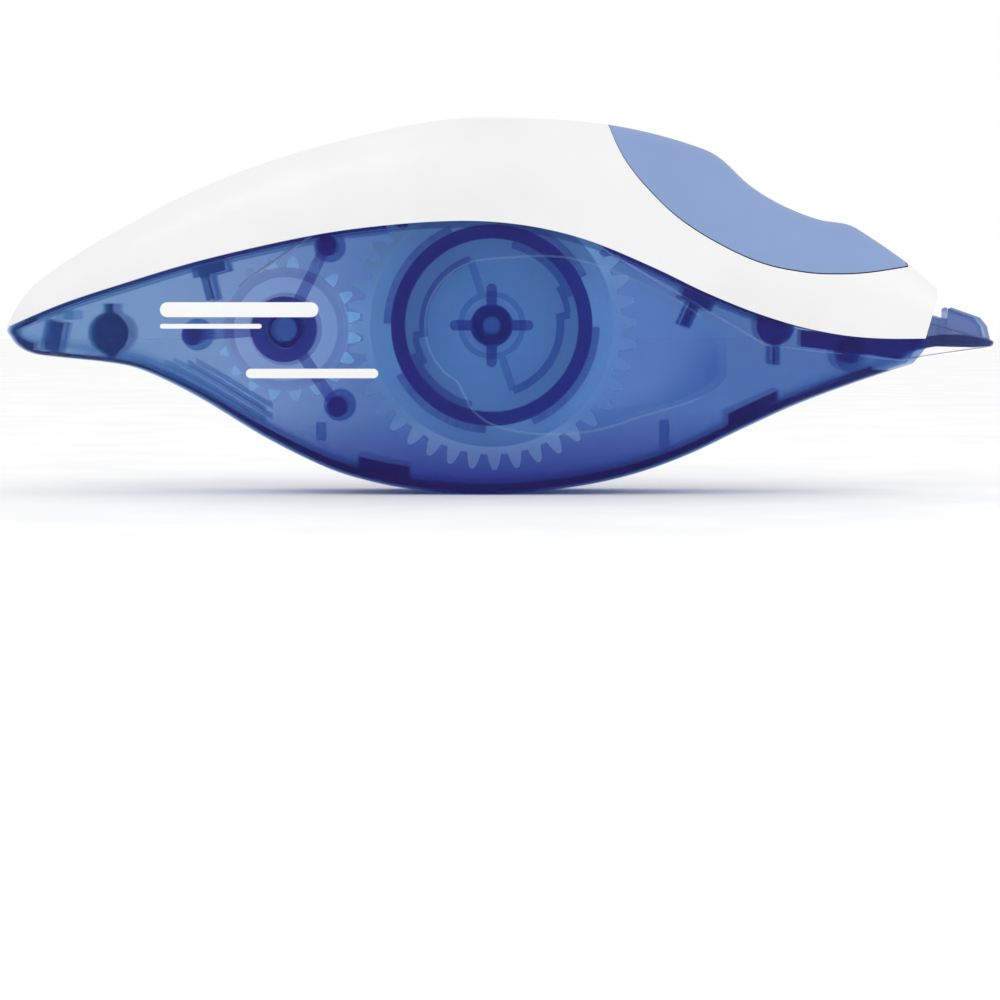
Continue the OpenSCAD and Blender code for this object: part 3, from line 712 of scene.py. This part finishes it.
BELLY_HAZE_Z = (-25, -20)
BELLY_HAZE_TIMES = 1.8
TAIL_HAZE_X = (-48, -28)
TAIL_HAZE = (0.17, 0.27, 0.98)
HAZE = (0.15, 0.11, 0.84)
HAZE_THROUGH_SHARE = 0.4
CLEAR_GLOSS = 0.10
CLEAR_IOR = 1.2
SLOW_SCALE = 60.0


def case_tint(tree, roughened):
    """What the case's skin lets through: clear at the tail, dark at the belly and the pad's edge."""
    along = shade_over(tree, "X", *CLEAR_TAIL_X, 0.0, 1.0)
    tint = between(tree, along, (1.0, 1.0, 1.0), BODY_TINT)
    tint = between(tree, shade_over(tree, "Z", *BELLY_Z, BELLY_TINT_SHARE, 0.0), tint, BELLY_TINT)
    dish = times(tree, ring_over(tree, PAD_MIDDLE, PAD_RADII, *PAD_EDGE_RING, 0.0, 1.0), roughened,
                 shade_over(tree, "X", *PAD_EDGE_X, 0.0, 1.0),
                 shade_over(tree, "Z", *PAD_EDGE_Z, 1.0, 0.0))
    return between(tree, dish, tint, PAD_EDGE_TINT)


def case_haze(tree, share, haze_colour, roughened):
    """Share and colour of the case's haze: denser at the belly, grainy on the pad, pale on its step."""
    rimmed = face_mark(tree, "rimmed")
    share = times(tree, share, shade_over(tree, "Z", *BELLY_HAZE_Z, BELLY_HAZE_TIMES, 1.0))
    grainy = noise_between(tree, PAD_HAZE_SHARE * 0.75, PAD_HAZE_SHARE * 1.25, PAD_GRAIN_SCALE, 3.0)
    share = between(tree, roughened, share, grainy)
    share = between(tree, rimmed, share, PAD_RIM_HAZE_SHARE)
    along = shade_over(tree, "X", *TAIL_HAZE_X, 0.0, 1.0)
    colour = between(tree, along, TAIL_HAZE, haze_colour)
    colour = between(tree, roughened, colour, PAD_HAZE)
    colour = between(tree, rimmed, colour, PAD_RIM_HAZE)
    return share, colour


def clear_plastic(name, absorbed_per_mm, haze_colour, haze, is_case=False):
    """Tinted clear plastic: darker the longer the way through it, with a slight blue haze.

    The case's plastic also changes along the body and on the faces marked as its pad."""
    mat, tree, out = new_material(name)
    clear = tree.nodes.new("ShaderNodeBsdfTransparent")
    lit = tree.nodes.new("ShaderNodeBsdfDiffuse")
    through = tree.nodes.new("ShaderNodeBsdfTranslucent")
    shine = tree.nodes.new("ShaderNodeBsdfGlossy")
    fresnel = tree.nodes.new("ShaderNodeFresnel")
    geometry = tree.nodes.new("ShaderNodeNewGeometry")
    share = noise_between(tree, haze * 0.9, haze * 1.1, SLOW_SCALE, 3.0)
    colour = haze_colour
    glossy = between(tree, geometry.outputs["Backfacing"], 1.0, 0.0)
    if is_case:
        roughened = face_mark(tree, "roughened")
        feed(tree, clear.inputs["Color"], case_tint(tree, roughened))
        share, colour = case_haze(tree, share, haze_colour, roughened)
        glossy = times(tree, glossy, between(tree, roughened, 1.0, PAD_GLOSS_SHARE))
    feed(tree, lit.inputs["Color"], colour)
    feed(tree, through.inputs["Color"], colour)
    feed(tree, shine.inputs["Roughness"], CLEAR_GLOSS)
    feed(tree, fresnel.inputs["IOR"], CLEAR_IOR)
    milk = mixed_shader(tree, HAZE_THROUGH_SHARE, lit.outputs[0], through.outputs[0])
    body = mixed_shader(tree, share, clear.outputs[0], milk)
    surface = mixed_shader(tree, times(tree, fresnel.outputs[0], glossy), body, shine.outputs[0])
    feed(tree, out.inputs["Surface"], surface)
    # the node absorbs density times (1 - colour), so a little extra density keeps the colour above 0
    density = 1.05 * max(absorbed_per_mm)
    depth = tree.nodes.new("ShaderNodeVolumeAbsorption")
    depth.inputs["Color"].default_value = (*[1 - a / density for a in absorbed_per_mm], 1)
    depth.inputs["Density"].default_value = density / MM
    feed(tree, out.inputs["Volume"], depth.outputs[0])
    return mat


# ---------------------------------------------------------------- opaque plastic, rubber, paper and film
COLOUR_SPREAD = 0.03
ROUGHNESS_SCALE = 300.0
BUMP_SCALE = 1200.0
BUMP_HEIGHT = 0.1 * MM
# painted light from behind, in mm: painted shadow within these radii of the supply core, more painted light
# below these heights
CORE_SHADOW_R = (11.8, 13.2)
BELLY_PAINTED_LIGHT_Z = (-18, -13)


def moulded(name, colour, rough, bump=0.05, coat=0.0, painted_light=None, painted_core_shadow=None, painted_belly_light=None):
    """An opaque material with a fine bump, which may glow with painted light.

    The glow arguments are painted light, emission in place of light that comes through the case from
    behind: the first is the painted glow, the second is painted shadow behind the supply core, and
    the third is more painted light near the belly."""
    mat, tree, out = new_material(name)
    shader = tree.nodes.new("ShaderNodeBsdfPrincipled")
    darker = tuple(c * (1 - COLOUR_SPREAD) for c in colour)
    lighter = tuple(min(1, c * (1 + COLOUR_SPREAD)) for c in colour)
    base = between(tree, noise_between(tree, 0, 1, SLOW_SCALE), darker, lighter)
    roughness = noise_between(tree, rough * 0.9, rough * 1.1, ROUGHNESS_SCALE)
    feed(tree, shader.inputs["Base Color"], base)
    feed(tree, shader.inputs["Roughness"], roughness)
    feed(tree, shader.inputs["Coat Weight"], coat)
    # painted light: the glow is emission in place of light from behind, dimmed to a painted shadow behind
    # the supply core and raised near the belly
    if painted_light:
        feed(tree, shader.inputs["Emission Strength"], 1.0)
        if painted_core_shadow:
            light_beside_core = between(tree, shade_over(tree, "Z", *BELLY_PAINTED_LIGHT_Z, 1.0, 0.0), painted_light, painted_belly_light)
            in_core_shadow = ring_over(tree, SUPPLY, (1, 1), *CORE_SHADOW_R, 1.0, 0.0)
            painted_light = between(tree, in_core_shadow, light_beside_core, painted_core_shadow)
        feed(tree, shader.inputs["Emission Color"], painted_light)
    bumps = tree.nodes.new("ShaderNodeBump")
    feed(tree, bumps.inputs["Strength"], bump)
    feed(tree, bumps.inputs["Distance"], BUMP_HEIGHT)
    feed(tree, bumps.inputs["Height"], noise_between(tree, 0, 1, BUMP_SCALE, 4.0))
    feed(tree, shader.inputs["Normal"], bumps.outputs["Normal"])
    feed(tree, out.inputs["Surface"], shader.outputs[0])
    return mat


# ---------------------------------------------------------------- looks of the pieces
case_blue = clear_plastic("case_blue", (0.50, 0.30, 0.19), HAZE, 0.14, is_case=True)
reel_blue = clear_plastic("reel_blue", (0.62, 0.50, 0.30), (0.12, 0.08, 0.60), 0.20)
clutch_blue = clear_plastic("clutch_blue", (0.30, 0.22, 0.12), HAZE, 0.07)
head_blue = clear_plastic("head_blue", (1.3, 0.95, 0.42), (0.15, 0.21, 0.50), 0.28)
# painted light: the supply gear glows as if lit through the case, with painted shadow behind the supply
# core and more painted light near the belly
gear_natural = moulded("gear_natural", (0.80, 0.88, 0.95), 0.45, painted_light=(0.115, 0.155, 0.16),
                       painted_core_shadow=(0.05, 0.12, 0.12), painted_belly_light=(0.34, 0.38, 0.38))
# painted light: the take-up gear is the same plastic as the supply gear, with a brighter painted glow
gear_brighter_painted_light = moulded("gear_brighter_painted_light", (0.80, 0.88, 0.95), 0.45, painted_light=(0.21, 0.32, 0.37))
cover_white = moulded("cover_white", (0.79, 0.79, 0.79), 0.38, coat=0.15)
grip_rubber = moulded("grip_rubber", (0.212, 0.308, 0.54), 0.6, bump=0.12)
# painted light: the roll, drum, tape and ribbon below glow as if lit through the case
roll_white = moulded("roll_white", (0.64, 0.76, 0.92), 0.6, painted_light=(0.11, 0.19, 0.15))
drum_white = moulded("drum_white", (0.70, 0.78, 0.88), 0.6, painted_light=(0.18, 0.18, 0.19))
tape_white = moulded("tape_white", (0.88, 0.88, 0.88), 0.6, painted_light=(0.3, 0.29, 0.29))
ribbon_film = moulded("ribbon_film", (0.84, 0.80, 0.78), 0.4, painted_light=(0.08, 0.07, 0.06))
# painted shade: a dark material for the faces of the thin gap round the finger grip
grip_gap_shade = moulded("grip_gap_shade", (0.02, 0.035, 0.14), 0.6)
print_white = moulded("print_white", (0.86, 0.86, 0.86), 0.5)

# the pad's faces lie between these places along the body, within SAME_PLANE metres of its depth,
# and face straight sideways
PAD_X = (-10.5, 30)
SAME_PLANE = 1e-5
SIDEWAYS = 0.9999
# how far outside the grip's outline a face of the recess may lie, in mm
RECESS_MARGIN = 0.02


def mark_pad(shell, side):
    """Marks the faces of the finely roughened pad and of the step round it."""
    for mark, depth in (("roughened", PAD_DEPTH), ("rimmed", PAD_RIM_DEPTH)):
        pad_y = side * (HALF_W - depth) * MM
        marks = shell.data.attributes.new(mark, "FLOAT", "FACE")
        for face in shell.data.polygons:
            level = abs(face.center.y - pad_y) < SAME_PLANE and abs(face.normal.y) > SIDEWAYS
            marked = level and PAD_X[0] < face.center.x / MM < PAD_X[1]
            marks.data[face.index].value = 1.0 if marked else 0.0


def in_grip_recess(face):
    """True for the cover's faces in the recess under the finger grip."""
    x, z = face.center.x / MM, face.center.z / MM
    if not GRIP_X0 - RECESS_MARGIN < x < GRIP_X1 + RECESS_MARGIN:
        return False
    return z > curve(GRIP, min(max(x, GRIP_X0), GRIP_X1)) - RECESS_MARGIN


for shell, side in ((shell_front, -1), (shell_rear, 1)):
    shell.data.materials.append(case_blue)
    mark_pad(shell, side)
shell_cover.data.materials.append(cover_white)
shell_cover.data.materials.append(grip_gap_shade)
# the faces of the recess under the grip get the painted shade, which shows in the gap round it
for face in shell_cover.data.polygons:
    if in_grip_recess(face):
        face.material_index = 1
shell_grip.data.materials.append(grip_rubber)

looks = {
    "supply_gear": gear_natural, "clutch_spring": clutch_blue, "supply_core": reel_blue,
    "tape_roll": roll_white, "supply_cap": reel_blue, "takeup_gear": gear_brighter_painted_light,
    "takeup_core": drum_white, "used_ribbon_roll": drum_white, "takeup_bridge": reel_blue,
    "applicator_head": head_blue, "tape_run": tape_white, "ribbon_run": ribbon_film,
}
for node, material in looks.items():
    for slot in frame["nodes"][node].material_slots:
        slot.material = material


# ---------------------------------------------------------------- plain bars, in place of the maker's print
# how far below the drawn skin the print starts and ends, and how near points are joined, in mm
PRINT_TOP = 0.001
PRINT_ROOT = 0.02
PRINT_WELD = 0.0001


def printed(name, upper, lower):
    """A closed print let into the near skin, between two lines with the same x."""
    n = len(upper)
    verts = [(x * MM, -(half_width(x) - depth) * MM, z * MM)
             for depth in (PRINT_TOP, PRINT_ROOT) for x, z in lower + upper]
    faces = []
    for i in range(n - 1):
        face = (i, i + 1, n + i + 1, n + i)
        a, b, c, d = (k + 2 * n for k in face)
        faces += [face, (d, c, b, a), (face[0], a, b, face[1]), (face[2], c, d, face[3])]
    obj = mesh_object(name, verts, faces)
    whole = bmesh.new()
    whole.from_mesh(obj.data)
    bmesh.ops.remove_doubles(whole, verts=whole.verts, dist=PRINT_WELD * MM)
    whole.to_mesh(obj.data)
    whole.free()
    obj.data.materials.append(print_white)
    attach(obj, "housing")


def capsule(name, x0, x1, z, half):
    """A printed bar with round ends, from x0 to x1, and as far above z as below it."""
    left, right = x0 + half, x1 - half
    quarter = spread(0, math.pi / 2, PRINT_END_STEPS)
    xs = [left - half * math.cos(a) for a in quarter]
    xs += spread(left, right, PRINT_STEPS)[1:-1]
    xs += [right + half * math.sin(a) for a in quarter]

    def rise(x):
        past = max(left - x, x - right, 0)
        return math.sqrt(max(half**2 - past**2, 0))

    printed(name, [(x, z + rise(x)) for x in xs], [(x, z - rise(x)) for x in xs])


capsule("print_wide", -43.4, -23.2, -0.6, 0.95)
capsule("print_middle", -43.4, -30.4, -2.7, 0.3)
capsule("print_low", -32.4, -15.6, -8.7, 0.6)

# ---------------------------------------------------------------- stage and light, in metres
FLOOR_HALF = 2
floor_corners = rectangle(-FLOOR_HALF, -FLOOR_HALF, FLOOR_HALF, FLOOR_HALF)
floor = mesh_object("floor", [(x, y, cad_box[0][2]) for x, y in floor_corners], [(0, 1, 2, 3)])
floor.data.materials.append(moulded("floor_white", (0.95, 0.95, 0.95), 0.8))

world = bpy.data.worlds.new("studio")
bpy.context.scene.world = world
world.use_nodes = True
sky = world.node_tree.nodes["Background"]
sky.inputs["Color"].default_value = (1, 1, 1, 1)
sky.inputs["Strength"].default_value = 1.0


def area_light(name, location, size, power):
    """A round light that points at the middle of the object."""
    light = bpy.data.objects.new(name, bpy.data.lights.new(name, "AREA"))
    light.data.shape = "DISK"
    light.data.size = size
    light.data.energy = power
    light.location = location
    light.rotation_euler = (-Vector(location)).to_track_quat("-Z", "Y").to_euler()
    bpy.context.collection.objects.link(light)


area_light("key", (-0.25, -0.5, 0.5), 0.4, 0.5)
area_light("fill", (0.4, -0.4, 0.2), 0.4, 0.3)

# ---------------------------------------------------------------- camera, square to the near side
SENSOR_W = 36
CAMERA_DISTANCE = 0.45
# width of the view at the middle of the object, and the shift that places the object in it
VIEW_W = 0.1296
VIEW_SHIFT = (-0.001, -0.195)

camera = bpy.data.objects.new("camera", bpy.data.cameras.new("camera"))
bpy.context.collection.objects.link(camera)
camera.location = (0, -CAMERA_DISTANCE, 0)
camera.rotation_euler = (math.radians(90), 0, 0)
camera.data.sensor_width = SENSOR_W
camera.data.lens = SENSOR_W * CAMERA_DISTANCE / VIEW_W
camera.data.clip_start = 0.01
camera.data.shift_x, camera.data.shift_y = VIEW_SHIFT
bpy.context.scene.camera = camera
bpy.context.scene.view_settings.view_transform = "Standard"
